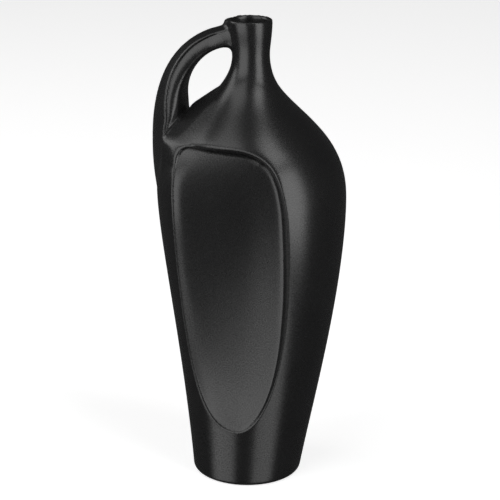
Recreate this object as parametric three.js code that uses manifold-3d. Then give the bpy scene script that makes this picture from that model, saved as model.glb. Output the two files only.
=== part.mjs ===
// Ceramic bottle vase with one loop handle and a pressed panel front and back.
// Millimetres, +Z up. The origin is on the table under the middle of the foot,
// -Y is the front and the handle reaches out along -X.

import * as THREE from 'three';
import { mergeVertices } from 'three/addons/utils/BufferGeometryUtils.js';
import Module from 'manifold-3d';

const wasm = await Module();
wasm.setup();

// Body, turned outline
const height = 460;
const footRadius = 54.5;
const footEdge = 4.5;
const bellyRadius = 92.4;
const bellyHeight = 295;
const neckRadius = 19.2;
const neckLength = 34;
const neckHeight = height - neckLength;
const lipRadius = 21.4;
const bellyLean = 5.5;
const leanTop = 355;
const bellyWall = 5.5;

// How full the outline's two long curves are, as lengths of their end tangents
const footPull = { out: 10.5, up: 83 };
const bellyPull = { down: 60, up: 74.5 };
const neckPull = 52;
const flarePull = { up: 12, down: 11 };

// Base slab
const slabThickness = 8;
const footRecessRadius = 40;
const footRecessDepth = 2;

// Neck
const collarLength = 60;
const neckJoint = height - collarLength;
const neckWall = 3.8;
const lipRound = 1.6;
const lugRadius = 9;
const lugReach = 25.4;
const lugDepth = 26;

// Pressed panel, seen from the front
const panelBottom = 63;
const panelTop = 348.5;
const panelHalfWidth = 56;
const panelShift = 2;
const panelWidest = 275;
const panelTipPull = 34;
const panelSidePull = { down: 126, upRight: 57, upLeft: 62 };
const panelCrownPull = { right: 35, left: 48 };
const panelCentre = 235;

// The panel's floor: its deepest line as distances from the middle plane, and its two slopes
const valleyDepth = { tip: 61, low: 48, high: 62, crown: 54 };
const valleyPull = { up: 60, down: 95 };
const valleySide = 10;
const valleyRound = 15;
const leftSlope = 0.22;
const rightSlope = { tip: 0.2, crown: 0 };
const wallSlope = { right: 2.3, left: 0.7, crown: 1.7 };
const wallFade = { side: 30, crownFull: 5, crownNone: 40 };
const panelLining = 4.5;

// The ridges that climb from the panel's left crest over the handle's root to the foot of the loop
const hipStart = new THREE.Vector3(-60, 59, bellyHeight + 23);
const hipCorner = new THREE.Vector3(-75, 46, bellyHeight + 52);
const hipFoot = new THREE.Vector3(-54, 0, bellyHeight + 82);
const hipNeck = new THREE.Vector3(-31, 0, bellyHeight + 98);
const hipPull = [new THREE.Vector3(-7, -4.5, 9), new THREE.Vector3(2.5, 4, -9)];
const rootPull = [new THREE.Vector3(11, -17, 7), new THREE.Vector3(-4, 15, -5)];
const hipRound = 5;

// Handle: a wedge-shaped outer band up to two ridges, and a web between them, flared to the root
const handleWidth = { neck: 24, root: 92, flare: 1.9, low: 3 };
const bandDepth = { neck: 4.2, root: 22 };
const webStep = 2.2;
const webRound = { neck: 11, root: 5 };
const webBend = 1.3;
const handleDrop = 4.5;
const handleTop = height - handleDrop;
const handleReach = 96.8;
const handleRise = 40;
const handleLow = bellyHeight + handleRise;
const loopDrop = 26;
const loopTop = height - loopDrop;
const loopReach = 63.6;
const loopHeight = 53;
const loopLow = loopTop - loopHeight;
const bandPull = { out: 82, drop: 9, up: 39, down: 30 };
const bandFade = { drop: 57, length: 90, inset: 10 };
const loopPull = { drop: 3, out: 28, over: 4, up: 28, down: 25 };
const rootInset = 5;

// Fit between luted pieces that curve round each other
const luteGap = 0.3;

// Number of faces
const bodySides = 96;
const neckSides = 48;

const point = (x, y) => new THREE.Vector2(x, y);

// A cubic curve from its four control points
const cubic = (a, b, c, d) => new THREE.CubicBezierCurve(a, b, c, d);

// The outer outline from the foot's rounded edge to the neck's waist, as radius and height
function bodyCurves() {
  const foot = point(footRadius, footEdge);
  const belly = point(bellyRadius, bellyHeight);
  const waist = point(neckRadius, neckHeight);
  const flank = cubic(
    foot,
    point(foot.x + footPull.out, foot.y + footPull.up),
    point(belly.x, belly.y - bellyPull.down),
    belly,
  );
  const shoulder = cubic(
    belly,
    point(belly.x, belly.y + bellyPull.up),
    point(waist.x, waist.y - neckPull),
    waist,
  );
  return { flank, shoulder };
}

// Points along a curve, moved sideways by offset; a positive offset makes the body fatter
function offsetPoints(curve, steps, offset) {
  const points = [];
  for (let i = 0; i <= steps; i += 1) {
    const tangent = curve.getTangent(i / steps);
    const normal = point(tangent.y, -tangent.x);
    points.push(curve.getPoint(i / steps).addScaledVector(normal, offset));
  }
  return points;
}

// The body's outline moved sideways, cut off at two heights
function bodyOutline(offset, low, high) {
  const { flank, shoulder } = bodyCurves();
  const points = offsetPoints(flank, 9, offset).concat(offsetPoints(shoulder, 16, offset).slice(1));
  const inside = points.filter((p) => p.y > low + 0.5 && p.y < high - 0.5);
  return [point(radiusAt(points, low), low), ...inside, point(radiusAt(points, high), high)];
}

// The radius of an outline at a height
function radiusAt(points, z) {
  for (let i = 1; i < points.length; i += 1) {
    const [a, b] = [points[i - 1], points[i]];
    if (z >= a.y && z <= b.y) return THREE.MathUtils.mapLinear(z, a.y, b.y, a.x, b.x);
  }
  return z < points[0].y ? points[0].x : points[points.length - 1].x;
}

// A turned solid from its outline; the outline closes on itself or ends on the axis
function turned(outline, sides) {
  const geometry = new THREE.LatheGeometry(outline, sides);
  geometry.rotateX(Math.PI / 2);
  return geometry;
}

// The belly leans a little towards +X between the foot and the shoulder
function leanAt(z) {
  return z > 0 && z < leanTop ? bellyLean * Math.sin((Math.PI * z) / leanTop) : 0;
}

function leaned(geometry) {
  const position = geometry.attributes.position;
  for (let i = 0; i < position.count; i += 1) {
    position.setX(i, position.getX(i) + leanAt(position.getZ(i)));
  }
  return geometry;
}

// A closed body through rings of points, each ring an array of Vector3, with both ends capped
function loft(rings) {
  const count = rings[0].length;
  const vertices = rings.flat().flatMap((p) => [p.x, p.y, p.z]);
  const faces = [];
  for (let r = 0; r + 1 < rings.length; r += 1) {
    for (let i = 0; i < count; i += 1) {
      const j = (i + 1) % count;
      const [a, b] = [r * count + i, r * count + j];
      faces.push(a, b, b + count, a, b + count, a + count);
    }
  }
  for (const [start, flip] of [[0, true], [(rings.length - 1) * count, false]]) {
    const ring = rings[start / count];
    const middle = ring.reduce((sum, p) => sum.add(p), new THREE.Vector3()).divideScalar(count);
    const centre = vertices.length / 3;
    vertices.push(middle.x, middle.y, middle.z);
    for (let i = 0; i < count; i += 1) {
      const [a, b] = [start + i, start + ((i + 1) % count)];
      faces.push(...(flip ? [centre, b, a] : [centre, a, b]));
    }
  }
  const geometry = new THREE.BufferGeometry();
  geometry.setAttribute('position', new THREE.Float32BufferAttribute(vertices, 3));
  geometry.setIndex(faces);
  return geometry;
}

// A closed geometry as a solid to join and cut; one whose faces point inwards is turned round
function solid(geometry) {
  const bare = geometry.clone();
  bare.deleteAttribute('normal');
  bare.deleteAttribute('uv');
  const merged = mergeVertices(bare, 1e-4);
  const vertProperties = new Float32Array(merged.attributes.position.array);
  const triVerts = new Uint32Array(merged.index.array);
  const made = (faces) => new wasm.Manifold(new wasm.Mesh({ numProp: 3, vertProperties, triVerts: faces }));
  const body = made(triVerts);
  return body.volume() > 0 ? body : made(triVerts.toReversed());
}

function geometryOf(manifold) {
  const mesh = manifold.getMesh();
  const geometry = new THREE.BufferGeometry();
  geometry.setAttribute('position', new THREE.Float32BufferAttribute(mesh.vertProperties, 3));
  geometry.setIndex([...mesh.triVerts]);
  geometry.computeVertexNormals();
  return geometry;
}

// Everything on one side of the plane Y = 0, as a solid to cut with
function halfSpace(side) {
  const reach = 2 * (handleReach + bellyRadius);
  const box = new THREE.BoxGeometry(2 * reach, reach, 2 * height);
  box.translate(0, (side * reach) / 2, height / 2);
  return solid(box);
}

// Points along the hip's ridge from its low end to its high end
function hipRidge(steps) {
  const lower = new THREE.CubicBezierCurve3(
    hipStart, hipStart.clone().add(hipPull[0]), hipCorner.clone().add(hipPull[1]), hipCorner,
  );
  const upper = new THREE.CubicBezierCurve3(
    hipCorner, hipCorner.clone().add(rootPull[0]), hipFoot.clone().add(rootPull[1]), hipFoot,
  );
  return [...lower.getPoints(steps).slice(0, -1), ...upper.getPoints(steps), hipNeck];
}

// The hip's ridge at a height, as distances to the handle's side and to the front; null past its ends
function hipAt(z) {
  if (z <= hipStart.z || z >= hipNeck.z) return null;
  const path = hipRidge(12);
  const next = path.findIndex((p) => p.z > z);
  const [a, b] = [path[next - 1], path[next]];
  return a.clone().lerp(b, (z - a.z) / (b.z - a.z));
}

// One ring of the body: a circle, stretched like a skin over the two ridges at its height
function bodyRing(radius, z, offset) {
  const hip = hipAt(z);
  const corners = hip ? [point(hip.x - leanAt(z), hip.y), point(hip.x - leanAt(z), -hip.y)] : [];
  const inset = corners.map((p) => p.multiplyScalar(1 - hipRound / p.length()));
  const turns = Array.from({ length: 5 * bodySides }, (_, i) => (2 * Math.PI * i) / (5 * bodySides));
  const reach = turns.map((turn) => {
    const facing = point(Math.cos(turn), Math.sin(turn));
    return Math.max(radius, ...inset.map((p) => p.dot(facing) + hipRound + offset));
  });
  return Array.from({ length: bodySides }, (_, i) => {
    const turn = (2 * Math.PI * i) / bodySides;
    const limits = turns.map((facing, k) => reach[k] / Math.max(Math.cos(turn - facing), 0.01));
    const far = hip ? Math.min(...limits) : radius;
    return new THREE.Vector3(far * Math.cos(turn) + leanAt(z), far * Math.sin(turn), z);
  });
}

// The body as a full solid between two heights; the hollow is plain, so the clay is thicker at the hip
function bodySolid(offset, low, high) {
  const outline = bodyOutline(offset, low, high);
  if (offset < 0) return solid(leaned(turned([point(0, low), ...outline, point(0, high)], bodySides)));
  const plain = bodyOutline(0, low, high).map((p) => p.y).filter((z) => !hipAt(z));
  const heights = [...plain, ...hipRidge(4).map((p) => p.z)].sort((a, b) => a - b);
  return solid(loft(heights.map((z) => bodyRing(radiusAt(outline, z), z, offset))));
}

// The panel's outline in front view, as points from the tip up the right side and down the left
function panelOutline(steps) {
  const tip = point(0, panelBottom);
  const crown = point(-panelShift, panelTop);
  const half = (width, sidePull, crownPull) => {
    const side = point(width, panelWidest);
    const lower = cubic(
      tip,
      point(Math.sign(width) * panelTipPull, tip.y),
      point(side.x, side.y - panelSidePull.down),
      side,
    );
    const upper = cubic(
      side,
      point(side.x, side.y + sidePull),
      point(crown.x + crownPull, crown.y),
      crown,
    );
    return [...lower.getPoints(steps).slice(0, -1), ...upper.getPoints(steps)];
  };
  const right = half(panelHalfWidth - panelShift, panelSidePull.upRight, panelCrownPull.right);
  const left = half(-panelHalfWidth - panelShift, panelSidePull.upLeft, -panelCrownPull.left);
  return [...right, ...left.slice(1, -1).reverse()];
}

// Half of the panel's width at a height
function panelHalfAt(z) {
  const right = panelOutline(16).slice(0, 33);
  return radiusAt(right, z) + panelShift;
}

// How far the panel's floor lies from the middle plane; it falls from the left crest to the right
function floorAt(x, z, surface) {
  const valley = cubic(
    point(valleyDepth.tip, panelBottom),
    point(valleyDepth.low, panelBottom + valleyPull.up),
    point(valleyDepth.high, panelTop - valleyPull.down),
    point(valleyDepth.crown, panelTop),
  );
  const deepest = radiusAt(valley.getPoints(24), z);
  const half = panelHalfAt(z);
  const middle = (valleySide * half) / panelHalfWidth;
  const crest = Math.sqrt(Math.max(radiusAt(surface, z) ** 2 - half ** 2, 0));
  const left = THREE.MathUtils.clamp((crest - deepest) / (half + middle), 0, leftSlope);
  const up = THREE.MathUtils.clamp((z - panelBottom) / (panelTop - panelBottom), 0, 1);
  const right = THREE.MathUtils.lerp(rightSlope.tip, rightSlope.crown, up);
  const away = x - middle;
  const bent = Math.hypot(away, valleyRound) - valleyRound;
  return deepest + ((left + right) / 2) * bent + ((right - left) / 2) * away;
}

// The pressed dish as a solid, grown by a margin on all sides; side is -1 in front and 1 behind.
// A wall climbs to the crest on the right and at the crown; on the left the floor runs out to it.
function dishSolid(side, margin) {
  const surface = bodyOutline(0, slabThickness, neckJoint);
  const outline = panelOutline(12);
  const centre = point(0, panelCentre);
  const ring = (scale, out) => outline.map((p, i) => {
    const ahead = outline[(i + 1) % outline.length];
    const behind = outline.at(i - 1);
    const normal = point(ahead.y - behind.y, behind.x - ahead.x).normalize();
    const away = p.clone().sub(centre);
    const at = centre.clone().addScaledVector(away, scale);
    const floor = floorAt(at.x, at.y, surface);
    const edge = Math.sqrt(Math.max(radiusAt(surface, p.y) ** 2 - p.x ** 2, 0));
    const rightward = THREE.MathUtils.smoothstep(at.x, -wallFade.side, 0);
    const upward = THREE.MathUtils.smoothstep(
      at.y, panelTop - wallFade.crownNone, panelTop - wallFade.crownFull,
    );
    const slope = Math.max(
      THREE.MathUtils.lerp(wallSlope.left, wallSlope.right, rightward),
      THREE.MathUtils.lerp(wallSlope.left, wallSlope.crown, upward),
    );
    const inside = (1 - scale) * away.dot(normal);
    const climb = Math.max(edge - floor - inside * slope, 0);
    const grown = at.clone().addScaledVector(normal, margin + out);
    const y = floor + climb + out * wallSlope.right - margin;
    return new THREE.Vector3(grown.x + leanAt(at.y), side * y, grown.y);
  });
  const rim = ring(1, 2 * valleySide);
  const mouth = rim.map((p) => new THREE.Vector3(p.x, side * 2 * bellyRadius, p.z));
  const floor = [1, 0.97, 0.94, 0.91, 0.88, 0.8, 0.65, 0.45, 0.2].map((scale) => ring(scale, 0));
  return solid(loft([mouth, rim, ...floor]));
}

// The walls of the belly, front and back in one
function bellySolid() {
  const [low, high] = [slabThickness, neckJoint];
  const outer = bodySolid(0, low, high);
  const hollow = bodySolid(-bellyWall, low - 1, high + 1);
  const dishes = dishSolid(-1, 0).add(dishSolid(1, 0));
  const linings = dishSolid(-1, panelLining).add(dishSolid(1, panelLining));
  return outer.subtract(dishes).subtract(hollow.subtract(linings));
}

function baseSlab() {
  const rim = bodyOutline(0, footEdge, slabThickness);
  const corner = new THREE.EllipseCurve(
    footRadius - footEdge, footEdge, footEdge, footEdge, -Math.PI / 2, 0,
  );
  return turned([
    point(0, footRecessDepth),
    point(footRecessRadius, footRecessDepth),
    point(footRecessRadius + footRecessDepth, 0),
    ...corner.getPoints(4),
    ...rim.slice(1),
    point(0, slabThickness),
  ], bodySides);
}

// The neck's outline from its joint with the belly up, over the lip and down the bore
function neckOutline(offset) {
  const outer = bodyOutline(offset, neckJoint, neckHeight);
  const lip = height - lipRound;
  const flare = cubic(
    point(neckRadius + offset, neckHeight),
    point(neckRadius + offset, neckHeight + flarePull.up),
    point(lipRadius + offset, lip - flarePull.down),
    point(lipRadius + offset, lip),
  );
  return [...outer, ...flare.getPoints(6).slice(1)];
}

function neckSolid() {
  const outer = neckOutline(0);
  const bore = neckOutline(-neckWall);
  const lip = new THREE.EllipseCurve(
    lipRadius - lipRound, height - lipRound, lipRound, lipRound, 0, Math.PI / 2,
  );
  const throat = new THREE.EllipseCurve(
    lipRadius - neckWall + lipRound, height - lipRound, lipRound, lipRound, Math.PI / 2, Math.PI,
  );
  const wall = [
    ...outer,
    ...lip.getPoints(4).slice(1),
    ...throat.getPoints(4),
    ...bore.slice(0, -1).reverse(),
    outer[0],
  ];
  const plug = turned([
    point(0, neckJoint),
    ...bore,
    point(bore.at(-1).x, height + 1),
    point(0, height + 1),
  ], neckSides);
  return solid(turned(wall, neckSides)).add(lugSolid().subtract(solid(plug)));
}

// The thicker stretch of lip that the handle grows out of
function lugSolid() {
  const top = height - lipRound / 2;
  const round = new THREE.EllipseCurve(
    lugRadius - lipRound, top - lipRound, lipRound, lipRound, 0, Math.PI / 2,
  );
  const lug = turned([
    point(0, top - lugDepth),
    point(lugRadius / 2, top - lugDepth),
    point(lugRadius, top - lugDepth / 2),
    ...round.getPoints(3),
    point(0, top),
  ], 20);
  lug.translate(lugRadius - lugReach, 0, 0);
  return solid(lug);
}

// The handle's outer edge and the loop's edge, in the plane Y = 0, as points in X and Z
function handleEdges(steps) {
  const start = -neckRadius / 2;
  const rise = cubic(
    point(start, handleTop),
    point(start - bandPull.out, handleTop - bandPull.drop),
    point(-handleReach, handleLow + bandPull.up),
    point(-handleReach, handleLow),
  );
  const fall = cubic(
    point(-handleReach, handleLow),
    point(-handleReach, handleLow - bandPull.down),
    point(-bellyRadius, handleLow - bandFade.drop),
    point(bandFade.inset - bellyRadius, handleLow - bandFade.length),
  );
  const loop = cubic(
    point(start, loopTop - loopPull.drop),
    point(start - loopPull.out, loopTop + loopPull.over),
    point(-loopReach, loopLow + loopPull.up),
    point(-loopReach, loopLow),
  );
  const sunk = cubic(
    point(-loopReach, loopLow),
    point(-loopReach, loopLow - loopPull.down),
    point(rootInset - loopReach, handleLow - bandFade.drop),
    point(-rootInset - loopReach, handleLow - bandFade.length),
  );
  const stations = [];
  for (let i = 0; i <= steps; i += 1) {
    const at = i / steps;
    const [outer, inner] = [rise.getPointAt(at), loop.getPointAt(at)];
    stations.push({ outer, inner, along: rise.getTangentAt(at), run: at });
  }
  for (let i = 1; i <= steps / 2; i += 1) {
    const at = (2 * i) / steps;
    const [outer, inner] = [fall.getPointAt(at), sunk.getPointAt(at)];
    stations.push({ outer, inner, along: fall.getTangentAt(at), run: 1 });
  }
  return stations;
}

// Half of the handle's width at a height
function handleHalf(z) {
  const down = THREE.MathUtils.clamp((handleTop - z) / (handleTop - handleLow - handleWidth.low), 0, 1);
  return THREE.MathUtils.lerp(handleWidth.neck, handleWidth.root, down ** handleWidth.flare) / 2;
}

// One section of the handle: the wedge-shaped band, the ridge, a small step down and the web
function handleSection({ outer, inner, along, run }) {
  const chord = inner.clone().sub(outer);
  const depth = chord.length();
  chord.normalize();
  const square = Math.max(0.45, Math.abs(chord.x * along.y - chord.y * along.x));
  const wanted = THREE.MathUtils.lerp(bandDepth.neck, bandDepth.root, run ** 2);
  const band = Math.min(wanted / square, 0.7 * depth);
  const rounding = THREE.MathUtils.lerp(webRound.neck, webRound.root, run ** 2);
  const round = Math.min(rounding, depth - band - webStep);
  const side = [];
  for (let i = 1; i <= 6; i += 1) side.push([band * (i / 6) ** 2, (i / 6) ** 1.6, 0]);
  side.push([band + webStep, 1, webStep]);
  for (let i = 0; i < 5; i += 1) {
    const turn = (i / 5) * (Math.PI / 2);
    const [across, down] = [Math.sin(turn) ** webBend, Math.cos(turn) ** webBend];
    side.push([depth - round + round * across, down, webStep]);
  }
  const mirrored = side.map(([inwards, share, step]) => [inwards, -share, step]).reverse();
  const ring = [[0, 0, 0], ...side, [depth, 0, 0], ...mirrored];
  return ring.map(([inwards, share, step]) => {
    const at = outer.clone().addScaledVector(chord, inwards);
    return new THREE.Vector3(at.x, share * (handleHalf(at.y) - step), at.y);
  });
}

function handleSolid() {
  const handle = solid(loft(handleEdges(24).map(handleSection)));
  const belly = bodySolid(luteGap, slabThickness, neckJoint + luteGap);
  const neck = solid(turned([
    point(0, neckJoint - 1),
    ...neckOutline(luteGap),
    point(lipRadius + luteGap, height + 1),
    point(0, height + 1),
  ], neckSides));
  const lug = solid(geometryOf(lugSolid()).translate(-luteGap, 0, 0));
  return largest(handle.subtract(belly).subtract(neck).subtract(lug));
}

// The largest separate body of a cut piece
function largest(manifold) {
  return manifold.decompose().reduce((best, part) => (part.volume() > best.volume() ? part : best));
}

// Materials: satin black glaze all over, bare stoneware under the foot
function glaze() {
  return new THREE.MeshStandardMaterial({ color: 0x23232a, roughness: 0.42, metalness: 0 });
}

function stoneware() {
  return new THREE.MeshStandardMaterial({ color: 0x6b625a, roughness: 0.85, metalness: 0 });
}

const vase = new THREE.Group();

function addPiece(name, geometry, material) {
  const mesh = new THREE.Mesh(geometry, material);
  mesh.name = name;
  vase.add(mesh);
}

const belly = bellySolid();
addPiece('base_slab', baseSlab(), stoneware());
addPiece('belly_front_half', geometryOf(belly.intersect(halfSpace(-1))), glaze());
addPiece('belly_back_half', geometryOf(belly.intersect(halfSpace(1))), glaze());
addPiece('neck_with_lip', geometryOf(neckSolid()), glaze());
addPiece('handle', geometryOf(handleSolid()), glaze());

export default vase;
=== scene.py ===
"""A satin black ceramic bottle vase with a loop handle and a pressed panel front and back."""

import math

import bpy
import numpy as np
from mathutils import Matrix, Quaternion, Vector


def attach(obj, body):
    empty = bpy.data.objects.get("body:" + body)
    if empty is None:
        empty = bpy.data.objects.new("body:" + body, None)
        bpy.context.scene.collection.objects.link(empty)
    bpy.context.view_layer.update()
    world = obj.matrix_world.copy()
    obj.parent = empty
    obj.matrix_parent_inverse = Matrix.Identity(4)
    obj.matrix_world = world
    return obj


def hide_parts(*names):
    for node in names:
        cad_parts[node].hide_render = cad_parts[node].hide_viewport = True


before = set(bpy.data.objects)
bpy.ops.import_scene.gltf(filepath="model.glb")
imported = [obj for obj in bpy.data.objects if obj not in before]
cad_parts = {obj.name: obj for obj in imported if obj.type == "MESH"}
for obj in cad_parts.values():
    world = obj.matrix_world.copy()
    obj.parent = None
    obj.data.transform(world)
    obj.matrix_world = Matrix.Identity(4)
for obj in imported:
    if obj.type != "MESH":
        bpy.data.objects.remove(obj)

bl_info = {
    "name": "Ceramic bottle vase",
    "version": (1, 0, 0),
    "blender": (4, 5, 0),
    "location": "View3D > Sidebar > Vase",
    "description": "Builds a glazed bottle vase with a loop handle, and the studio it stands in",
    "category": "Add Mesh",
}

MM = 0.001
GLAZED_NODES = ("belly_front_half", "belly_back_half", "neck_with_lip", "handle")
FOOT_NODE = "base_slab"

# Sides of the turned pieces, steps of their curves, and the most triangles that a piece may have
BODY_SIDES = 160
FOOT_SIDES = 128
HOLLOW_SIDES = 72
BORE_SIDES = 64
LUG_SIDES = 32
CURVE_STEPS = 60
FLARE_STEPS = 16
HANDLE_CURVE_STEPS = 400
MOST_TRIANGLES = 190000

# How far the lamps stand from the vase, in metres
LAMP_DISTANCE = 2.2


def length(name, description, default_mm):
    """A size in millimetres, kept as a property in metres."""
    return bpy.props.FloatProperty(
        name=name, description=description, default=default_mm * MM, min=0.0, unit="LENGTH", precision=4
    )


def spot(name, description, default_mm):
    """A place or a way from one, in millimetres, kept as a property in metres."""
    return bpy.props.FloatVectorProperty(
        name=name,
        description=description,
        default=[value * MM for value in default_mm],
        size=3,
        subtype="TRANSLATION",
        unit="LENGTH",
        precision=4,
    )


def share(name, description, default, soft_max=1.0):
    """A number without a unit."""
    return bpy.props.FloatProperty(
        name=name, description=description, default=default, min=0.0, soft_max=soft_max, precision=3
    )


def angle(name, description, default_degrees):
    """An angle in degrees, kept as a property in radians."""
    return bpy.props.FloatProperty(
        name=name, description=description, default=math.radians(default_degrees), subtype="ANGLE"
    )


def colour(name, description, default):
    """A linear colour without alpha."""
    return bpy.props.FloatVectorProperty(
        name=name, description=description, default=default, size=3, min=0.0, max=1.0, subtype="COLOR"
    )


class BodyShape(bpy.types.PropertyGroup):
    """Outline of the turned body, from the foot to the lip"""

    height: length("Height", "Table to lip", 460.0)
    foot_radius: length("Foot radius", "Widest radius just over the foot's rounded edge", 54.5)
    foot_edge: length("Foot edge", "Radius of the rounding where the wall meets the table", 4.5)
    belly_radius: length("Belly radius", "Widest radius of the body", 91.9)
    belly_height: length("Belly height", "Height of the widest place", 291.0)
    neck_radius: length("Neck radius", "Radius at the neck's waist", 18.0)
    neck_height: length("Neck height", "Height of the neck's waist", 426.0)
    lip_radius: length("Lip radius", "Outer radius of the flared lip", 21.4)
    lip_round: length("Lip rounding", "Radius of the rounding on top of the lip", 1.7)
    lean: length("Lean", "How far the belly's middle stands off the axis", 5.5)
    neck_lean: length("Neck lean", "How far the neck's waist stands off the axis", 1.3)
    lean_top: length("Lean top", "Height at which the lean has died away", 355.0)
    wall: length("Wall", "Thickness of the wall", 5.5)
    neck_wall: length("Neck wall", "Thickness of the wall at the neck", 3.8)
    floor: length("Floor", "Thickness of the clay at the bottom", 8.0)
    lug_reach: length("Lug reach", "How far the thicker stretch of lip reaches to the handle", 25.4)
    lug_radius: length("Lug radius", "Radius of the thicker stretch of lip", 9.0)


class PanelShape(bpy.types.PropertyGroup):
    """The dished panel that is pressed into the front and the back"""

    bottom: length("Bottom", "Height of the panel's tip", 63.0)
    top: length("Top", "Height of the panel's crown", 348.5)
    half_width: length("Half width", "Half of the panel's greatest width", 55.5)
    shift: length("Shift", "How far the panel sits to the left of the body's middle", 4.5)
    widest: length("Widest", "Height at which the panel is widest", 275.0)
    valley_side: length("Valley side", "How far right of the middle the deepest line lies at most", 10.0)
    valley_round: length("Valley rounding", "Width over which the floor turns to its other side", 15.0)
    valley_tip: length("Valley at the tip", "Distance of the deepest line from the middle plane", 61.0)
    valley_low: length("Valley low", "How deep the line is pulled below the panel's middle", 47.0)
    valley_high: length("Valley high", "How deep the line is pulled above the panel's middle", 60.5)
    valley_crown: length("Valley at the crown", "Distance of the deepest line at the crown", 49.5)
    left_slope: share("Left slope", "Steepest slope of the floor to the left of its deepest line", 0.3)
    left_drop: length("Left drop", "How far the floor's left edge lies under the crest", 0.6)
    right_slope_tip: share("Right slope at the tip", "How the floor rises again on the right", 0.12)
    right_fall_crown: share("Right fall at the crown", "How the floor still falls on the right", 0.17)
    wall_slope: share("Wall slope", "Slope of the wall between the floor and the right crest", 3.0, 5.0)
    left_wall_slope: share("Left wall slope", "Slope of the low wall on the left", 0.7, 5.0)
    crown_share: share("Crown share", "How much of the right wall's slope the crown has", 1.0)
    wall_round: length("Wall rounding", "Rounding between the floor and the wall", 1.2)
    crest_round: length("Crest rounding", "Rounding of the crest between the dish and the body", 2.0)
    crown_round: length("Crown rounding", "Rounding of the crest at the crown", 5.5)
    left_round: length("Left rounding", "Rounding of the crest on the left", 3.4)


class HipShape(bpy.types.PropertyGroup):
    """The fold from the panel's left crest to the shoulder, and the ridge over the handle's root"""

    start: spot("Start", "Where the fold leaves the body, over the left crest", (-61.0, -58.0, 316.0))
    start_pull: spot("Start pull", "How the fold sets off from there", (-1.0, 0.0, 10.0))
    fold_pull: spot("Fold pull", "How the fold comes to its end", (-0.5, -5.0, -10.0))
    fold: spot("Fold", "Where the fold ends", (-63.0, -50.0, 347.0))
    fold_top: spot("Fold top", "Where the fold has died away on the shoulder", (-30.0, -21.0, 386.0))
    tail: spot("Tail", "Where the handle's ridge has died away on the flank", (-77.0, -42.0, 312.0))
    corner: spot("Corner", "Where the handle's ridge and the root's ridge meet", (-75.0, -41.0, 347.0))
    root_pull: spot("Root pull", "How the root's ridge leaves that corner", (6.0, 4.0, 8.0))
    foot_pull: spot("Foot pull", "How it comes to the foot of the loop", (-5.0, -14.0, -10.0))
    foot: spot("Foot", "The foot of the loop", (-56.0, -5.0, 375.0))
    neck: spot("Neck", "Where the ridge dies away towards the neck", (-31.0, 0.0, 393.0))
    rounding: length("Rounding", "Rounding of the ridge", 5.0)


class HandleShape(bpy.types.PropertyGroup):
    """The loop handle, in the plane of the neck's axis"""

    width_top: length("Width at the neck", "Front to back, across the ridges", 24.0)
    width_root: length("Width at the root", "Front to back, where the handle meets the shoulder", 80.0)
    root: length("Root", "Height at which that width is reached", 347.0)
    flare: share("Flare", "How late the handle widens: 1 is evenly, more is closer to the root", 1.9, 8.0)
    band_top: length("Band at the neck", "From the outer edge to the ridge, at the neck", 4.2)
    band_root: length("Band at the root", "From the outer edge to the ridge, lower down", 22.0)
    step: length("Step", "How far the web lies under the ridge", 3.0)
    pillow: length("Pillow", "How far in from the ridge the web has swollen again", 6.0)
    web_slant: share("Web slant", "How much of its width the web loses before its edge", 0.2)
    web_edge: share("Web edge", "How much of the web is the rounded edge of the loop", 0.2)
    top: length("Top", "Height at which the outer edge leaves the neck", 456.0)
    reach: length("Reach", "How far the handle reaches from the axis", 96.8)
    low: length("Low", "Height at which the outer edge is vertical", 335.0)
    loop_top: length("Loop top", "Height of the loop's upper end", 434.0)
    loop_reach: length("Loop reach", "How far the loop reaches from the axis", 63.6)
    loop_low: length("Loop low", "Height of the loop's lower end", 381.0)


class Finish(bpy.types.PropertyGroup):
    """Colours and surface of the glaze and of the bare clay"""

    glaze: colour("Glaze", "Colour of the satin glaze", (0.0075, 0.0075, 0.0078))
    glaze_thin: colour("Thin glaze", "Colour where the glaze thins over edges", (0.0135, 0.0135, 0.0135))
    glaze_roughness: share("Glaze roughness", "How far the glaze spreads a highlight", 0.27)
    grain: share("Grain", "Height of the fine grain in the glaze", 0.36)
    clay: colour("Clay", "Colour of the bare stoneware", (0.055, 0.049, 0.044))


class Studio(bpy.types.PropertyGroup):
    """Camera, lamps and floor"""

    camera_turn: angle("Camera turn", "Turn of the camera to the right of the front", 13.0)
    camera_distance: length("Camera distance", "From the vase's axis, level", 1575.0)
    camera_height: length("Camera height", "Over the floor", 750.0)
    camera_roll: angle("Camera roll", "Roll of the camera", 0.413)
    focal_length: bpy.props.FloatProperty(
        name="Focal length", description="Focal length in millimetres", default=121.36
    )
    aim_height: length("Aim height", "Height of the point that the camera looks at", 230.4)
    aim_side: length("Aim side", "Distance of that point to the right of the axis", 1.65)
    left_lamp: share("Left lamps", "Radiance of the large soft lamps on the left", 2.3, 10.0)
    right_lamp: share("Right lamps", "Radiance of the narrower soft lamps on the right", 3.3, 10.0)
    low_lamps: share("Low lamps", "Radiance of the lamps that show in the lower flanks", 1.9, 10.0)
    room: share("Room", "Light from the rest of the room", 0.05)


def sizes(group):
    """A property group's values by name."""
    return type("Sizes", (), {key: getattr(group, key) for key in group.__annotations__})


def fade(distance, full, none):
    """1 on the full side, 0 past the other value, and smooth between them."""
    t = np.clip((none - distance) / (none - full), 0, 1)
    return t * t * (3 - 2 * t)


def cubic(a, b, c, d, steps):
    """Points along a cubic curve from its four control points."""
    t = np.linspace(0.0, 1.0, steps + 1)[:, None]
    a, b, c, d = (np.asarray(p, float) for p in (a, b, c, d))
    return (1 - t) ** 3 * a + 3 * (1 - t) ** 2 * t * b + 3 * (1 - t) * t**2 * c + t**3 * d


def outward(points, offset):
    """Points of an outline that runs upwards, moved away from the axis by offset."""
    along = np.gradient(points, axis=0)
    along /= np.linalg.norm(along, axis=1)[:, None]
    return points + np.stack([along[:, 1], -along[:, 0]], axis=1) * offset


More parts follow.
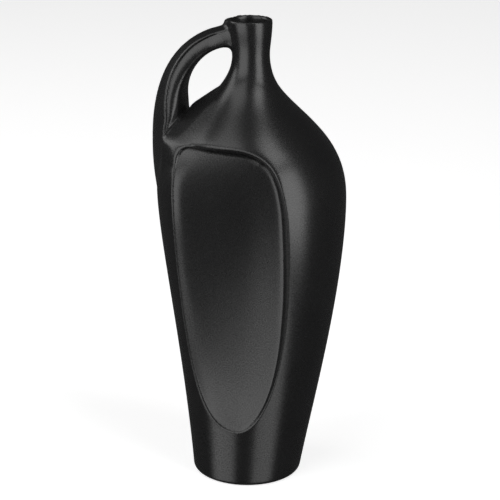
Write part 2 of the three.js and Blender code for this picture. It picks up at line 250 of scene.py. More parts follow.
def body_outline(body):
    """The outer outline as radius and height, from the foot's edge to the lip."""
    foot = (body.foot_radius, body.foot_edge)
    belly = (body.belly_radius, body.belly_height)
    waist = (body.neck_radius, body.neck_height)
    lip = (body.lip_radius, body.height - body.lip_round)
    over_foot = (foot[0] + 10.5 * MM, foot[1] + 83 * MM)
    under_belly = (belly[0], belly[1] - 64 * MM)
    over_belly = (belly[0], belly[1] + 74.5 * MM)
    under_waist = (waist[0], waist[1] - 52 * MM)
    over_waist = (waist[0], waist[1] + 12 * MM)
    under_lip = (lip[0], lip[1] - 11 * MM)
    flank = cubic(foot, over_foot, under_belly, belly, CURVE_STEPS)
    shoulder = cubic(belly, over_belly, under_waist, waist, CURVE_STEPS)
    flare = cubic(waist, over_waist, under_lip, lip, FLARE_STEPS)
    return np.concatenate([flank, shoulder[1:], flare[1:]])


def radius_at(outline, z):
    """The outline's radius at a height."""
    return np.interp(z, outline[:, 1], outline[:, 0])


def lean_at(body, z):
    """How far the body's middle stands to the side at a height."""
    z = np.asarray(z, float)
    full_near, none_past = 8 * MM, 34 * MM
    bow = body.lean * np.sin(np.pi * np.clip(z, 0, body.lean_top) / body.lean_top)
    waist = body.neck_lean * fade(np.abs(z - body.neck_height), full_near, none_past)
    return np.where((z > 0) & (z < body.lean_top), bow, 0.0) + waist


def turned_rings(body, outline, sides):
    """Rings of points round the leaning axis, one for each point of an outline."""
    turn = np.linspace(0, 2 * np.pi, sides, endpoint=False)
    rings = []
    for radius, z in outline:
        x = radius * np.cos(turn) + lean_at(body, z)
        rings.append(np.stack([x, radius * np.sin(turn), np.full(sides, z)], axis=1))
    return np.array(rings)


def hip_fold(hip, steps=16):
    """Points along the fold between the left crest and the shoulder, upwards."""
    start, fold = np.array(hip.start), np.array(hip.fold)
    rise = cubic(start, start + hip.start_pull, fold + hip.fold_pull, fold, steps)
    return np.concatenate([rise, [hip.fold_top]])


def hip_root(hip, steps=16):
    """Points along the root's ridge, from the flank over the handle's ridge to the neck."""
    corner, foot = np.array(hip.corner), np.array(hip.foot)
    arm = cubic(corner, corner + hip.root_pull, foot + hip.foot_pull, foot, steps)
    return np.concatenate([[hip.tail], arm, [hip.neck]])


def hipped_rings(body, hip, outline, sides):
    """The body's rings, stretched over the ridges in front of and behind the handle's root."""
    rings = turned_rings(body, outline, sides)
    facings = 5 * sides
    least_cosine = 0.05
    turn = np.linspace(0, 2 * np.pi, sides, endpoint=False)
    facing = np.linspace(0, 2 * np.pi, facings, endpoint=False)
    normals = np.stack([np.cos(facing), np.sin(facing)])
    between = np.cos(turn[:, None] - facing)
    seen = between > least_cosine
    ridges = (hip_fold(hip), hip_root(hip))
    for ring, (radius, z) in zip(rings, outline):
        crossed = [ridge for ridge in ridges if ridge[0, 2] < z < ridge[-1, 2]]
        reach = np.full(facings, radius)
        for ridge in crossed:
            x, y = (np.interp(z, ridge[:, 2], ridge[:, k]) for k in (0, 1))
            corners = np.array([(x - lean_at(body, z), y), (x - lean_at(body, z), -y)])
            inset = corners * (1 - hip.rounding / np.hypot(x, y))
            reach = np.maximum(reach, (inset @ normals).max(axis=0) + hip.rounding)
        if crossed:
            stretched = np.where(seen, reach / np.maximum(between, least_cosine), np.inf).min(axis=1)
            ring[:, 0] = stretched * np.cos(turn) + lean_at(body, z)
            ring[:, 1] = stretched * np.sin(turn)
    return rings


def panel_outline(panel, steps):
    """The panel's outline in front view: tip, right side, crown, left side."""
    tip = (0.0, panel.bottom)
    crown = (-panel.shift, panel.top)
    pull_down = 126 * MM
    sides = []
    for width, crown_pull, side_pull, tip_share in (
        (panel.half_width - panel.shift, 35 * MM, 57 * MM, 0.6),
        (-panel.half_width - panel.shift, -57 * MM, 75 * MM, 0.72),
    ):
        side = (width, panel.widest)
        lower = cubic(tip, (width * tip_share, tip[1]), (width, side[1] - pull_down), side, steps)
        upper = cubic(side, (width, side[1] + side_pull), (crown[0] + crown_pull, crown[1]), crown, steps)
        sides.append(np.concatenate([lower[:-1], upper]))
    right, left = sides
    return np.concatenate([right, left[1:-1][::-1]])


def inside_distance(points, outline, carried=None):
    """How far each point lies inside a closed outline, and the value carried at the nearest place."""
    if carried is None:
        carried = np.zeros(len(outline))
    nearest = np.full(len(points), np.inf)
    value = np.zeros(len(points))
    inside = np.zeros(len(points), bool)
    for a, b, at_a, at_b in zip(outline, np.roll(outline, -1, axis=0), carried, np.roll(carried, -1)):
        along = b - a
        share_along = np.clip(((points - a) @ along) / (along @ along), 0, 1)
        gap = ((points - a - share_along[:, None] * along) ** 2).sum(axis=1)
        value = np.where(gap < nearest, at_a + share_along * (at_b - at_a), value)
        nearest = np.minimum(nearest, gap)
        crosses = (a[1] > points[:, 1]) != (b[1] > points[:, 1])
        if a[1] != b[1]:
            at = a[0] + (points[:, 1] - a[1]) / (b[1] - a[1]) * (b[0] - a[0])
            inside ^= crosses & (points[:, 0] < at)
    return np.where(inside, 1, -1) * np.sqrt(nearest), value


def dish_floor(body, panel, x, z):
    """Distance of the dish's floor from the middle plane: it falls from the left crest to the right."""
    low_pull, high_pull = 60 * MM, 95 * MM
    line = cubic(
        (panel.valley_tip, panel.bottom),
        (panel.valley_low, panel.bottom + low_pull),
        (panel.valley_high, panel.top - high_pull),
        (panel.valley_crown, panel.top),
        CURVE_STEPS,
    )
    valley = np.interp(z, line[:, 1], line[:, 0])
    steps = 40
    crown = 2 * steps
    outline = panel_outline(panel, steps)
    right_side = outline[: crown + 1]
    right_edge = np.interp(z, right_side[:, 1], right_side[:, 0])
    left_side = np.concatenate([outline[crown:], outline[:1]])[::-1]
    left_edge = np.interp(z, left_side[:, 1], left_side[:, 0])
    middle = panel.valley_side * (right_edge - left_edge) / 2 / panel.half_width
    away = x - lean_at(body, z) - middle
    up = np.clip((z - panel.bottom) / (panel.top - panel.bottom), 0, 1)
    right = panel.right_slope_tip - (panel.right_fall_crown + panel.right_slope_tip) * up
    brim = np.sqrt(np.maximum(radius_at(body_outline(body), z) ** 2 - left_edge**2, 0)) - panel.left_drop
    reach = left_edge - middle
    bend = np.hypot(reach, panel.valley_round) - panel.valley_round
    rise = 2 * (brim - valley) - right * (bend + reach)
    left = np.clip(rise / np.maximum(bend - reach, 1 * MM), 0, panel.left_slope)
    slope = (left + right) / 2
    tilt = (right - left) / 2
    return valley + slope * (np.hypot(away, panel.valley_round) - panel.valley_round) + tilt * away


def crownward(panel, z):
    """1 at the panel's crown, and 0 on its sides."""
    full_below, none_below = 5 * MM, 40 * MM
    return fade(-z, -(panel.top - full_below), -(panel.top - none_below))


def dish_surface(body, panel, x, z, steps=24):
    """Distance of the dish's floor and wall from the middle plane."""
    outline = panel_outline(panel, steps)
    brim = np.sqrt(radius_at(body_outline(body), outline[:, 1]) ** 2 - outline[:, 0] ** 2)
    upright = np.stack([x - lean_at(body, z), z], axis=1)
    inside, edge = inside_distance(upright, outline, brim)
    floor = dish_floor(body, panel, x, z)
    right_from = 30 * MM
    rightward = fade(-upright[:, 0], -right_from, 0.0)
    walled = np.maximum(rightward, crownward(panel, z) * panel.crown_share)
    steep = panel.left_wall_slope + (panel.wall_slope - panel.left_wall_slope) * walled
    run = np.maximum(edge - floor, 0) / steep
    most_share, least_round = 0.3, 0.05 * MM
    soft = np.minimum(panel.wall_round, most_share * run) + least_round
    climb = soft * np.logaddexp(0, (run - inside) / soft) * steep
    beyond = np.maximum(-inside, 0) * np.maximum(panel.wall_slope - steep, 0)
    return floor + climb + beyond


def lining_rings(body, panel, side, margin, steps=12):
    """Rings of a plain dish behind the pressed one, thicker by a margin; side is -1 in front."""
    outline = panel_outline(panel, steps)
    middle = np.array((0.0, (panel.top + panel.bottom) / 2))
    away = outline - middle
    grown = away / np.linalg.norm(away, axis=1)[:, None] * margin
    edge = np.sqrt(radius_at(body_outline(body), outline[:, 1]) ** 2 - outline[:, 0] ** 2)
    wall_from, wall_width = 0.9, 0.1
    rings = []
    for scale in (1.0, 0.97, wall_from, 0.8, 0.65, 0.45, 0.25, 0.08):
        flat = middle + away * scale
        x = flat[:, 0] + lean_at(body, flat[:, 1])
        floor = dish_floor(body, panel, x, flat[:, 1])
        climb = np.clip((scale - wall_from) / wall_width, 0, 1)
        y = floor + np.maximum(edge - floor, 0) * climb - margin
        rings.append(np.stack([x + grown[:, 0], side * y, flat[:, 1] + grown[:, 1]], axis=1))
    outermost = rings[0].copy()
    outermost[:, 1] = side * 2 * body.belly_radius
    return np.array([outermost, *rings])


def handle_edges(body, handle, steps):
    """Points of the outer edge, its directions, and points of the loop's edge, as X and Z."""
    start = -body.neck_radius / 2
    reach, low = -handle.reach, handle.low
    loop_reach, loop_low = -handle.loop_reach, handle.loop_low
    end_pull, end = low - 57 * MM, low - 90 * MM
    fine = HANDLE_CURVE_STEPS
    rise = cubic(
        (start, handle.top),
        (start - 82 * MM, handle.top - 9 * MM),
        (reach, low + 39 * MM),
        (reach, low),
        fine,
    )
    fall = cubic(
        (reach, low),
        (reach, low - 30 * MM),
        (-body.belly_radius, end_pull),
        (10 * MM - body.belly_radius, end),
        fine // 2,
    )
    loop = cubic(
        (start, handle.loop_top - 3 * MM),
        (start - 28 * MM, handle.loop_top + 4 * MM),
        (loop_reach, loop_low + 28 * MM),
        (loop_reach, loop_low),
        fine,
    )
    sunk = cubic(
        (loop_reach, loop_low),
        (loop_reach, loop_low - 25 * MM),
        (loop_reach + 5 * MM, end_pull),
        (loop_reach - 5 * MM, end),
        fine // 2,
    )
    outer = np.concatenate([evenly(rise, steps), evenly(fall, steps // 2)[1:]])
    inner = np.concatenate([evenly(loop, steps), evenly(sunk, steps // 2)[1:]])
    along = np.gradient(outer, axis=0)
    return outer, along / np.linalg.norm(along, axis=1)[:, None], inner


def evenly(points, steps):
    """Points spaced evenly along a line of points."""
    run = np.concatenate([[0], np.cumsum(np.linalg.norm(np.diff(points, axis=0), axis=1))])
    at = np.linspace(0, run[-1], steps + 1)
    return np.stack([np.interp(at, run, points[:, k]) for k in (0, 1)], axis=1)


def handle_frames(body, handle, steps):
    """At each section: the outer point, the way inwards, the depth and the band's part of it."""
    least_square, most_band = 0.45, 0.7
    frames = []
    outers, alongs, inners = handle_edges(body, handle, steps)
    for index, (outer, along, inner) in enumerate(zip(outers, alongs, inners)):
        run = min(index / steps, 1.0)
        chord = inner - outer
        depth = np.linalg.norm(chord)
        chord /= depth
        square = max(least_square, abs(chord[0] * along[1] - chord[1] * along[0]))
        band = handle.band_top + (handle.band_root - handle.band_top) * run**2
        band = min(band / square, most_band * depth)
        frames.append((outer, chord, depth, band))
    return frames


def handle_half(handle, z):
    """Half of the handle's width at a height."""
    down = np.clip((handle.top - z) / (handle.top - handle.root), 0, 1)
    return (handle.width_top + (handle.width_root - handle.width_top) * down**handle.flare) / 2


def handle_rings(body, handle, steps=120):
    """Sections of the handle: a wedge-shaped band, a ridge and a web that rounds to the loop."""
    wedge = 1.6
    rings = []
    for outer, chord, depth, band in handle_frames(body, handle, steps):
        side = [(band * part**2, part**wedge) for part in np.linspace(0, 1, 15)[1:]]
        edge = handle.web_edge * (depth - band)
        for part in np.linspace(0, 1, 9)[1:]:
            side.append((band + (depth - band - edge) * part, 1 - handle.web_slant * part**2))
        for turn in np.linspace(0, math.pi / 2, 9)[1:-1]:
            side.append((depth - edge + edge * math.sin(turn), (1 - handle.web_slant) * math.cos(turn)))
        front = np.array([(0.0, 0.0), *side, (depth, 0.0)])
        back = front[1:-1][::-1] * (1, -1)
        section = np.concatenate([front, back])
        x = outer[0] + chord[0] * section[:, 0]
        z = outer[1] + chord[1] * section[:, 0]
        rings.append(np.stack([x, section[:, 1] * handle_half(handle, z), z], axis=1))
    return np.array(rings)


def pocket_outline(body, handle, hip, steps):
    """The pocket between the handle's ridge, the root's ridge and the loop, in front view."""
    off_ridge, off_root = 0.8 * MM, 1.4 * MM
    left_of_neck, over_corner = -24 * MM, 4 * MM
    past_the_loop = ((-20 * MM, 400 * MM), (-16 * MM, 436 * MM))
    ridge = np.array([
        outer + chord * (band + off_ridge)
        for outer, chord, depth, band in handle_frames(body, handle, steps)
    ])
    root = hip_root(hip)[1:-1, (0, 2)]
    along = np.gradient(root, axis=0)
    along /= np.linalg.norm(along, axis=1)[:, None]
    root = root + np.stack([-along[:, 1], along[:, 0]], axis=1) * off_root
    chosen = ridge[(ridge[:, 0] < left_of_neck) & (ridge[:, 1] > hip.corner[2] + over_corner)]
    return np.array([*chosen, *root[1:], *past_the_loop])


def rounded(x, z, radius, turns):
    """Points of a rounded edge about a centre, at turns in radians."""
    return [(x + radius * math.cos(turn), z + radius * math.sin(turn)) for turn in turns]


def lug_outline(body):
    """Outline of the thicker stretch of lip on the handle's side."""
    top = body.height - body.lip_round / 2
    radius, rounding = body.lug_radius, body.lip_round
    foot, full = top - 26 * MM, top - 13 * MM
    corner = rounded(radius - rounding, top - rounding, rounding, np.linspace(0, math.pi / 2, 6))
    return np.array([(radius / 2, foot), (radius, full), *corner])


def deselect():
    """Leaves nothing selected."""
    if bpy.context.object and bpy.context.object.mode != "OBJECT":
        bpy.ops.object.mode_set(mode="OBJECT")
    bpy.ops.object.select_all(action="DESELECT")


def make_active(piece):
    """Selects one piece alone."""
    deselect()
    piece.select_set(True)
    bpy.context.view_layer.objects.active = piece


def skin(name, rings):
    """A closed skin through rings of points: a flat grid, rolled up, welded and capped."""
    rows, around = rings.shape[:2]
    deselect()
    bpy.ops.mesh.primitive_grid_add(x_subdivisions=around, y_subdivisions=rows - 1, location=(0, 0, 0))
    piece = bpy.context.object
    piece.name = piece.data.name = name
    rolled = np.concatenate([rings, rings[:, :1]], axis=1)
    piece.data.vertices.foreach_set("co", rolled.astype(np.float32).ravel())
    bpy.ops.object.mode_set(mode="EDIT")
    bpy.ops.mesh.select_all(action="SELECT")
    bpy.ops.mesh.remove_doubles(threshold=1e-7)
    bpy.ops.mesh.fill_holes(sides=0)
    bpy.ops.mesh.normals_make_consistent(inside=False)
    bpy.ops.object.mode_set(mode="OBJECT")
    return piece


def apply_modifier(piece, kind, **settings):
    """Adds one modifier and applies it."""
    make_active(piece)
    modifier = piece.modifiers.new(kind.title(), kind)
    for key, value in settings.items():
        setattr(modifier, key, value)
    bpy.ops.object.modifier_apply(modifier=modifier.name)


def combine(piece, other, operation):
    """Joins another body to a piece, or cuts it away, and removes the other."""
    apply_modifier(piece, "BOOLEAN", object=other, operation=operation, solver="EXACT")
    bpy.data.objects.remove(other)


def places(piece):
    """The piece's points as an array."""
    points = np.empty(len(piece.data.vertices) * 3, np.float32)
    piece.data.vertices.foreach_get("co", points)
    return points.reshape(-1, 3).astype(float)


def move_to(piece, points):
    """Moves the piece's points to new places."""
    piece.data.vertices.foreach_set("co", points.astype(np.float32).ravel())
    piece.data.update()


def refine(piece, chosen):
    """Divides the faces between the chosen points, for a crisper edge there."""
    make_active(piece)
    bpy.ops.object.mode_set(mode="EDIT")
    bpy.ops.mesh.select_mode(type="VERT")
    bpy.ops.mesh.select_all(action="DESELECT")
    bpy.ops.object.mode_set(mode="OBJECT")
    piece.data.vertices.foreach_set("select", chosen)
    bpy.ops.object.mode_set(mode="EDIT")
    bpy.ops.mesh.subdivide(number_cuts=1)
    bpy.ops.object.mode_set(mode="OBJECT")


def soften(piece, name, weights, repeats):
    """Smooths a piece where the weights say so. The name isn't used twice on one piece."""
    group = piece.vertex_groups.new(name=name)
    tenths = np.round(weights * 10).astype(int)
    for tenth in range(1, 11):
        group.add(np.flatnonzero(tenths == tenth).tolist(), tenth / 10, "REPLACE")
    apply_modifier(piece, "SMOOTH", factor=0.5, iterations=repeats, vertex_group=name)


def near(points, centre, depth_share, full, none):
    """1 near a centre and 0 far from it; depth_share is how much of the depth counts."""
    distance = np.linalg.norm((points - centre) * (1, depth_share, 1), axis=1)
    return fade(distance, full, none)


class VASE_OT_glazed_body(bpy.types.Operator):
    """Models the whole glazed body: belly, neck, lip and handle as one seamless skin"""

    bl_idname = "vase.glazed_body"
    bl_label = "Glazed body"

    voxel: length("Detail", "Size of the mesh's cells while it is joined", 1.25)

    def execute(self, context):
        body = sizes(context.scene.vase_body)
        panel = sizes(context.scene.vase_panel)
        handle = sizes(context.scene.vase_handle)
        hip = sizes(context.scene.vase_hip)
        outline = body_outline(body)
        rings = hipped_rings(body, hip, self.full_outline(body, outline), BODY_SIDES)
        piece = skin("glazed_body", rings)
        combine(piece, skin("band", handle_rings(body, handle)), "UNION")
        lug = turned_rings(body, lug_outline(body), LUG_SIDES)
        lug[:, :, 0] += body.lug_radius - body.lug_reach
        combine(piece, skin("lug", lug), "UNION")
        bore = turned_rings(body, self.bore_outline(body, outline), BORE_SIDES)
        combine(piece, skin("bore", bore), "DIFFERENCE")
        apply_modifier(piece, "REMESH", mode="VOXEL", voxel_size=self.voxel)
        self.smooth_out(piece, handle)
        self.refine_edges(piece, body, panel, handle, hip)
        self.press_dishes(piece, body, panel)
        self.press_pockets(piece, body, handle, hip)
        combine(piece, self.hollow(body, panel, outline), "DIFFERENCE")
        self.thin_out(piece)
        make_active(piece)
        bpy.ops.object.shade_smooth()
        piece.data.materials.clear()
        piece.data.materials.append(black_glaze(context.scene.vase_finish))
        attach(piece, "root")
        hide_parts(*GLAZED_NODES)
        return {"FINISHED"}

    def full_outline(self, body, outline):
        """The outline from the rounded foot up, closed over the lip."""
        edge = body.foot_edge
        foot = rounded(body.foot_radius - edge, edge, edge, np.linspace(-math.pi / 2, 0, 8)[:-1])
        lip, height = outline[-1][0] - body.lip_round, outline[-1][1]
        top = rounded(lip, height, body.lip_round, np.linspace(0, math.pi / 2, 6)[1:])
        return np.concatenate([foot, outline, top])

    def bore_outline(self, body, outline):
        """The mouth and the upper bore, flared over the rounded lip."""
        inner = outward(outline, -body.neck_wall)
        low = body.neck_height - 30 * MM
        bore = inner[(inner[:, 1] > low) & (inner[:, 1] < body.height - 3 * MM)]
        radius = bore[-1][0]
        top = [
            (radius + 0.1 * MM, body.height - 2 * MM),
            (radius + 0.6 * MM, body.height - 0.8 * MM),
            (radius + 1.9 * MM, body.height + 0.3 * MM),
            (radius + 1.9 * MM, body.height + 6 * MM),
        ]
        return np.concatenate([bore, top])

    def hollow(self, body, panel, outline):
        """The inside of the body, from the floor to the bore, and the socket for the foot."""
        inner = outward(outline, -body.wall)
        inside = inner[(inner[:, 1] > body.floor) & (inner[:, 1] < body.neck_height - 20 * MM)]
        cove, rise = 6 * MM, 1.5 * MM
        bottom = [(inside[0][0] - cove, body.floor), (inside[0][0] - rise, body.floor + rise)]
        top = [(inside[-1][0], body.neck_height - 12 * MM)]
        kept = inside[inside[:, 1] > body.floor + cove]
        rings = turned_rings(body, np.concatenate([bottom, kept, top]), HOLLOW_SIDES)
        piece = skin("hollow", rings)
        for side in (-1, 1):
            combine(piece, skin("lining", lining_rings(body, panel, side, body.wall)), "DIFFERENCE")
        radius = body.foot_radius - body.foot_edge - 0.4 * MM
        overlap = 2 * MM
        socket = np.array([(radius, -overlap), (radius, body.floor - overlap)])
        combine(piece, skin("socket", turned_rings(body, socket, FOOT_SIDES)), "UNION")
        return piece

    def smooth_out(self, piece, handle):
        """Rounds the edges as glaze and a wet sponge do: a little all over, more where it was luted."""
        soften(piece, "all_over", np.ones(len(piece.data.vertices)), 3)
        points = places(piece)
        neck_root = (-21 * MM, 0.0, handle.top - 9 * MM)
        loop_corner = (-19 * MM, 0.0, handle.loop_top - 4 * MM)
        hip = (-66 * MM, 0.0, 350 * MM)
        above_flank = fade(-points[:, 2], -352 * MM, -340 * MM)
        off_neck = fade(points[:, 0], -24 * MM, -16 * MM)
        below_root = points[:, 2] < 352 * MM
        for name, weights, repeats in (
            ("neck_root", near(points, neck_root, 1, 12 * MM, 20 * MM), 30),
            ("loop_corner", near(points, loop_corner, 0.6, 6 * MM, 12 * MM), 120),
            ("handle", off_neck * above_flank, 8),
            ("hip", near(points, hip, 0.5, 20 * MM, 50 * MM) * below_root, 40),
        ):
            soften(piece, name, weights, repeats)

    def pocket_border(self, points, body, handle, hip):
        """The points about the handle's root, and how far each lies inside the pocket's outline."""
        root = np.flatnonzero((points[:, 0] < -14 * MM) & (points[:, 2] > 338 * MM))
        outline = pocket_outline(body, handle, hip, 30)
        return root, inside_distance(points[root][:, (0, 2)], outline)[0]

    def refine_edges(self, piece, body, panel, handle, hip):
        """Makes the mesh finer along the panel's crest and the pocket's border."""
        points = places(piece)
        off_middle, over_crown = 25 * MM, 10 * MM
        by_crest, by_border, smoothed = 7 * MM, 6 * MM, 4 * MM
        upright = np.stack([points[:, 0] - lean_at(body, points[:, 2]), points[:, 2]], axis=1)
        faces = (np.abs(points[:, 1]) > off_middle) & (points[:, 2] < panel.top + over_crown)
        front = np.flatnonzero(faces)
        inside = inside_distance(upright[front], panel_outline(panel, 10))[0]
        root, border = self.pocket_border(points, body, handle, hip)
        chosen = np.zeros(len(points), bool)
        chosen[front[np.abs(inside) < by_crest]] = True
        chosen[root[np.abs(border) < by_border]] = True
        refine(piece, chosen)
        points = places(piece)
        root, border = self.pocket_border(points, body, handle, hip)
        weights = np.zeros(len(points))
        weights[root[border > -smoothed]] = 1
        soften(piece, "border", weights, 6)

    def press_dishes(self, piece, body, panel):
        """Presses the dish into the front and the back of the soft clay."""
        points = places(piece)
        margin, side_margin = 20 * MM, 25 * MM
        by_panel = (points[:, 2] > panel.bottom - margin) & (points[:, 2] < panel.top + margin)
        by_panel &= np.abs(points[:, 1]) > margin
        by_panel &= np.abs(points[:, 0] - lean_at(body, points[:, 2])) < panel.half_width + side_margin
        chosen = points[by_panel]
        upward = crownward(panel, chosen[:, 2])
        leftward = fade(chosen[:, 0], -40 * MM, -15 * MM) * (1 - upward)
        soft = panel.crest_round + (panel.crown_round - panel.crest_round) * upward
        soft += (panel.left_round - panel.crest_round) * leftward
        depth = np.abs(chosen[:, 1])
        dish = dish_surface(body, panel, chosen[:, 0], chosen[:, 2])
        pressed = -soft * np.logaddexp(-depth / soft, -dish / soft)
        points[by_panel, 1] = np.sign(chosen[:, 1]) * pressed
        move_to(piece, points)

    def press_pockets(self, piece, body, handle, hip):
        """Presses the pocket into both faces of the handle, inside its ridge."""
        points = places(piece)
        by_root = (points[:, 0] < -14 * MM) & (points[:, 2] > 340 * MM)
        by_root &= np.abs(points[:, 1]) > 3 * MM
        chosen = points[by_root]
        inside = inside_distance(chosen[:, (0, 2)], pocket_outline(body, handle, hip, 40))[0]
        full, none = 1.6 * MM, -0.4 * MM
        least = 0.25
        swollen = least + (1 - least) * np.exp(-np.maximum(inside - full, 0) / handle.pillow)
        sunk = handle.step * fade(inside, full, none) * swollen
        off_middle = fade(np.abs(chosen[:, 1]), 9 * MM, 3 * MM)
        off_neck = fade(chosen[:, 0], -38 * MM, -22 * MM)
        points[by_root, 1] -= np.sign(chosen[:, 1]) * sunk * (off_middle * off_neck)
        move_to(piece, points)

    def thin_out(self, piece):
        """Keeps the piece under its limit of triangles."""
        piece.data.calc_loop_triangles()
        count = len(piece.data.loop_triangles)
        if count > MOST_TRIANGLES:
            apply_modifier(piece, "DECIMATE", ratio=MOST_TRIANGLES / count)


class VASE_OT_bare_foot(bpy.types.Operator):
    """Models the bare clay foot under the vase, with its standing ring and its shallow recess"""

    bl_idname = "vase.bare_foot"
    bl_label = "Bare foot"

    def execute(self, context):
        body = sizes(context.scene.vase_body)
        radius = body.foot_radius - body.foot_edge - 0.5 * MM
        top = body.floor - 2.1 * MM
        middle, recess = 1 * MM, 2 * MM
        outline = np.array([
            (middle, recess),
            (39.5 * MM, recess),
            (40.5 * MM, 1.7 * MM),
            (42 * MM, 0.3 * MM),
            (42.8 * MM, 0.0),
            (radius - 1.2 * MM, 0.0),
            (radius - 0.3 * MM, 0.4 * MM),
            (radius, 1.3 * MM),
            (radius, top),
            (middle, top),
        ])
        piece = skin("bare_foot", turned_rings(body, outline, FOOT_SIDES))
        make_active(piece)
        bpy.ops.object.shade_smooth_by_angle(angle=math.radians(30))
        piece.data.materials.clear()
        piece.data.materials.append(bare_clay(context.scene.vase_finish))
        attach(piece, "root")
        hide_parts(FOOT_NODE)
        return {"FINISHED"}


class NodeBoard:
    """Adds nodes and links to one material."""

    def __init__(self, name):
        self.material = bpy.data.materials.new(name)
        self.material.use_nodes = True
        self.tree = self.material.node_tree
        self.tree.nodes.clear()

    def add(self, kind, inputs=None, **settings):
        """Adds one node: its inputs by name, each a value or another node's output, and its settings."""
        node = self.tree.nodes.new(kind)
        for key, value in settings.items():
            setattr(node, key, value)
        for key, value in (inputs or {}).items():
            if isinstance(value, bpy.types.NodeSocket):
                self.tree.links.new(value, node.inputs[key])
            else:
                node.inputs[key].default_value = value
        return node


def black_glaze(finish):
    """Satin black glaze: soft sheen, fine grain, a faintly greyer tone in slow drifts."""
    board = NodeBoard("black_glaze")
    place = board.add("ShaderNodeTexCoord").outputs["Object"]
    drift = board.add(
        "ShaderNodeTexNoise", {"Vector": place, "Scale": 22.0, "Detail": 3.0, "Roughness": 0.55}
    ).outputs["Fac"]
    fine = board.add(
        "ShaderNodeTexNoise", {"Vector": place, "Scale": 950.0, "Detail": 2.0, "Roughness": 0.8}
    ).outputs["Fac"]
    tone = board.add("ShaderNodeMix", {0: drift}, data_type="RGBA")
    tone.inputs[6].default_value = (*finish.glaze, 1.0)
    tone.inputs[7].default_value = (*finish.glaze_thin, 1.0)
    smoothest = finish.glaze_roughness - 0.04
    roughest = finish.glaze_roughness + 0.05
    sheen = board.add(
        "ShaderNodeMapRange",
        {"Value": fine, "From Min": 0.3, "From Max": 0.7, "To Min": smoothest, "To Max": roughest},
    )
    grain = board.add(
        "ShaderNodeBump", {"Height": fine, "Strength": finish.grain, "Distance": 0.00012}
    )
    glaze = board.add(
        "ShaderNodeBsdfPrincipled",
        {
            "Base Color": tone.outputs[2],
            "Roughness": sheen.outputs["Result"],
            "Normal": grain.outputs["Normal"],
            "IOR": 1.5,
        },
    )
    board.add("ShaderNodeOutputMaterial", {"Surface": glaze.outputs["BSDF"]})
    return board.material


def bare_clay(finish):
    """Bare dark stoneware: matt, with a fine sandy grain."""
    board = NodeBoard("bare_clay")
    place = board.add("ShaderNodeTexCoord").outputs["Object"]
    sand = board.add(
        "ShaderNodeTexNoise", {"Vector": place, "Scale": 900.0, "Detail": 3.0, "Roughness": 0.65}
    ).outputs["Fac"]
    darker = tuple(value * 0.7 for value in finish.clay)
    tone = board.add("ShaderNodeMix", {0: sand}, data_type="RGBA")
    tone.inputs[6].default_value = (*darker, 1.0)
    tone.inputs[7].default_value = (*finish.clay, 1.0)
    grain = board.add("ShaderNodeBump", {"Height": sand, "Strength": 0.5, "Distance": 0.0002})
    clay = board.add(
        "ShaderNodeBsdfPrincipled",
        {"Base Color": tone.outputs[2], "Roughness": 0.85, "Normal": grain.outputs["Normal"]},
    )
    board.add("ShaderNodeOutputMaterial", {"Surface": clay.outputs["BSDF"]})
    return board.material


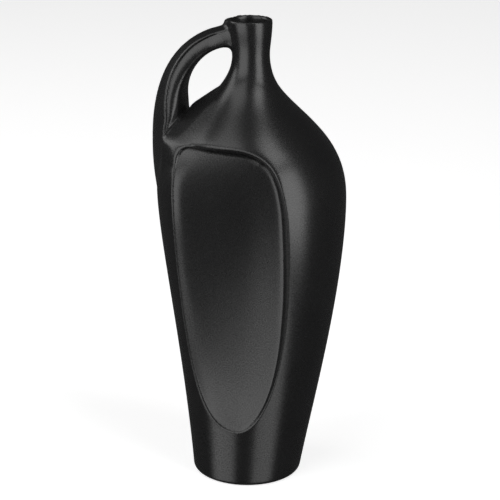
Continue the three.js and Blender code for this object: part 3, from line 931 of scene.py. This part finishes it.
class VASE_OT_studio(bpy.types.Operator):
    """Sets up the camera, the pale floor, the dim room and the soft lamps"""

    bl_idname = "vase.studio"
    bl_label = "Studio"

    def execute(self, context):
        studio = context.scene.vase_studio
        context.scene.view_settings.view_transform = "Standard"
        self.camera(context, studio)
        self.floor()
        self.room(context, studio)
        front = math.degrees(studio.camera_turn)
        left, right, low = studio.left_lamp, studio.right_lamp, studio.low_lamps
        upper_left = left * 0.75
        for name, turn, width, tall, height, radiance in (
            ("left_lamp", -45, 2.2, 2.4, 0.4, left),
            ("left_top_lamp", -52, 2.9, 4.6, 4.5, upper_left),
            ("left_low_lamp", -55, 2.0, 1.3, -1.85, low),
            ("left_side_lamp", -100, 1.3, 1.8, 1.6, left),
            ("right_lamp", 48, 1.4, 2.7, 0.6, right),
            ("right_top_lamp", 47, 1.6, 4.5, 4.6, right),
            ("right_low_lamp", 33, 1.8, 1.3, -1.85, low),
        ):
            self.lamp(name, front + turn, width, tall, height, radiance)
        return {"FINISHED"}

    def camera(self, context, studio):
        """The camera stands a little to the right of the front and looks down."""
        turn = studio.camera_turn
        view = bpy.data.cameras.new("camera")
        view.lens = studio.focal_length
        view.sensor_width = 36.0
        camera = bpy.data.objects.new("camera", view)
        context.collection.objects.link(camera)
        distance = studio.camera_distance
        camera.location = (distance * math.sin(turn), -distance * math.cos(turn), studio.camera_height)
        side = studio.aim_side
        aim = Vector((side * math.cos(turn), side * math.sin(turn), studio.aim_height))
        level = (aim - camera.location).to_track_quat("-Z", "Y")
        camera.rotation_mode = "QUATERNION"
        camera.rotation_quaternion = level @ Quaternion((0, 0, 1), studio.camera_roll)
        context.scene.camera = camera

    def floor(self):
        """A wide pale floor that stays white to the camera and keeps the vase's soft shadow."""
        deselect()
        under_the_foot = -0.0002
        bpy.ops.mesh.primitive_circle_add(
            vertices=96, radius=9.0, fill_type="NGON", location=(0, 0, under_the_foot)
        )
        floor = bpy.context.object
        floor.name = "floor"
        floor.visible_glossy = False
        board = NodeBoard("pale_floor")
        paper = board.add("ShaderNodeBsdfDiffuse", {"Color": (0.7, 0.7, 0.7, 1.0)})
        white = board.add("ShaderNodeEmission", {"Color": (1.0, 1.0, 1.0, 1.0), "Strength": 0.68})
        both = board.add("ShaderNodeAddShader")
        board.tree.links.new(paper.outputs[0], both.inputs[0])
        board.tree.links.new(white.outputs[0], both.inputs[1])
        path = board.add("ShaderNodeLightPath")
        seen = board.add("ShaderNodeMixShader", {0: path.outputs["Is Camera Ray"]})
        board.tree.links.new(paper.outputs[0], seen.inputs[1])
        board.tree.links.new(both.outputs[0], seen.inputs[2])
        board.add("ShaderNodeOutputMaterial", {"Surface": seen.outputs[0]})
        floor.data.materials.append(board.material)

    def room(self, context, studio):
        """White behind the vase for the camera, and a dim room for everything else."""
        world = bpy.data.worlds.new("room")
        world.use_nodes = True
        tree = world.node_tree
        tree.nodes.clear()
        dim = tree.nodes.new("ShaderNodeBackground")
        dim.inputs["Strength"].default_value = studio.room
        white = tree.nodes.new("ShaderNodeBackground")
        white.inputs["Color"].default_value = (1.0, 1.0, 1.0, 1.0)
        path = tree.nodes.new("ShaderNodeLightPath")
        mixed = tree.nodes.new("ShaderNodeMixShader")
        tree.links.new(path.outputs["Is Camera Ray"], mixed.inputs[0])
        tree.links.new(dim.outputs[0], mixed.inputs[1])
        tree.links.new(white.outputs[0], mixed.inputs[2])
        output = tree.nodes.new("ShaderNodeOutputWorld")
        tree.links.new(mixed.outputs[0], output.inputs["Surface"])
        context.scene.world = world

    def lamp(self, name, turn, width, tall, height, radiance):
        """A soft lamp that faces the vase from a turn in degrees round it."""
        light = bpy.data.lights.new(name, "AREA")
        light.shape = "RECTANGLE"
        light.size, light.size_y = width, tall
        light.energy = radiance * math.pi * width * tall
        lamp = bpy.data.objects.new(name, light)
        bpy.context.collection.objects.link(lamp)
        a = math.radians(turn)
        lamp.location = (LAMP_DISTANCE * math.sin(a), -LAMP_DISTANCE * math.cos(a), height)
        towards = Vector((-math.sin(a), math.cos(a), 0.0))
        lamp.rotation_mode = "QUATERNION"
        lamp.rotation_quaternion = towards.to_track_quat("-Z", "Y")
        lamp.visible_camera = False


class VASE_PT_panel(bpy.types.Panel):
    """Lists the steps that make the vase and its studio"""

    bl_label = "Bottle vase"
    bl_space_type = "VIEW_3D"
    bl_region_type = "UI"
    bl_category = "Vase"

    def draw(self, context):
        for operator in OPERATORS:
            self.layout.operator(operator.bl_idname)
        for name in GROUPS:
            group = getattr(context.scene, name)
            column = self.layout.column(align=True)
            for key in group.__annotations__:
                column.prop(group, key)


GROUPS = {
    "vase_body": BodyShape,
    "vase_panel": PanelShape,
    "vase_hip": HipShape,
    "vase_handle": HandleShape,
    "vase_finish": Finish,
    "vase_studio": Studio,
}
OPERATORS = (VASE_OT_studio, VASE_OT_glazed_body, VASE_OT_bare_foot)


def register():
    """Makes the sizes, the operators and the panel known to Blender."""
    for group in GROUPS.values():
        bpy.utils.register_class(group)
    for name, group in GROUPS.items():
        setattr(bpy.types.Scene, name, bpy.props.PointerProperty(type=group))
    for operator in OPERATORS:
        bpy.utils.register_class(operator)
    bpy.utils.register_class(VASE_PT_panel)


def unregister():
    """Takes them away again."""
    bpy.utils.unregister_class(VASE_PT_panel)
    for operator in reversed(OPERATORS):
        bpy.utils.unregister_class(operator)
    for name, group in GROUPS.items():
        delattr(bpy.types.Scene, name)
        bpy.utils.unregister_class(group)


def main():
    """Makes the studio and the vase."""
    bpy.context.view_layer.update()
    register()
    bpy.ops.vase.studio()
    bpy.ops.vase.glazed_body()
    bpy.ops.vase.bare_foot()
    deselect()


if __name__ == "__main__":
    main()
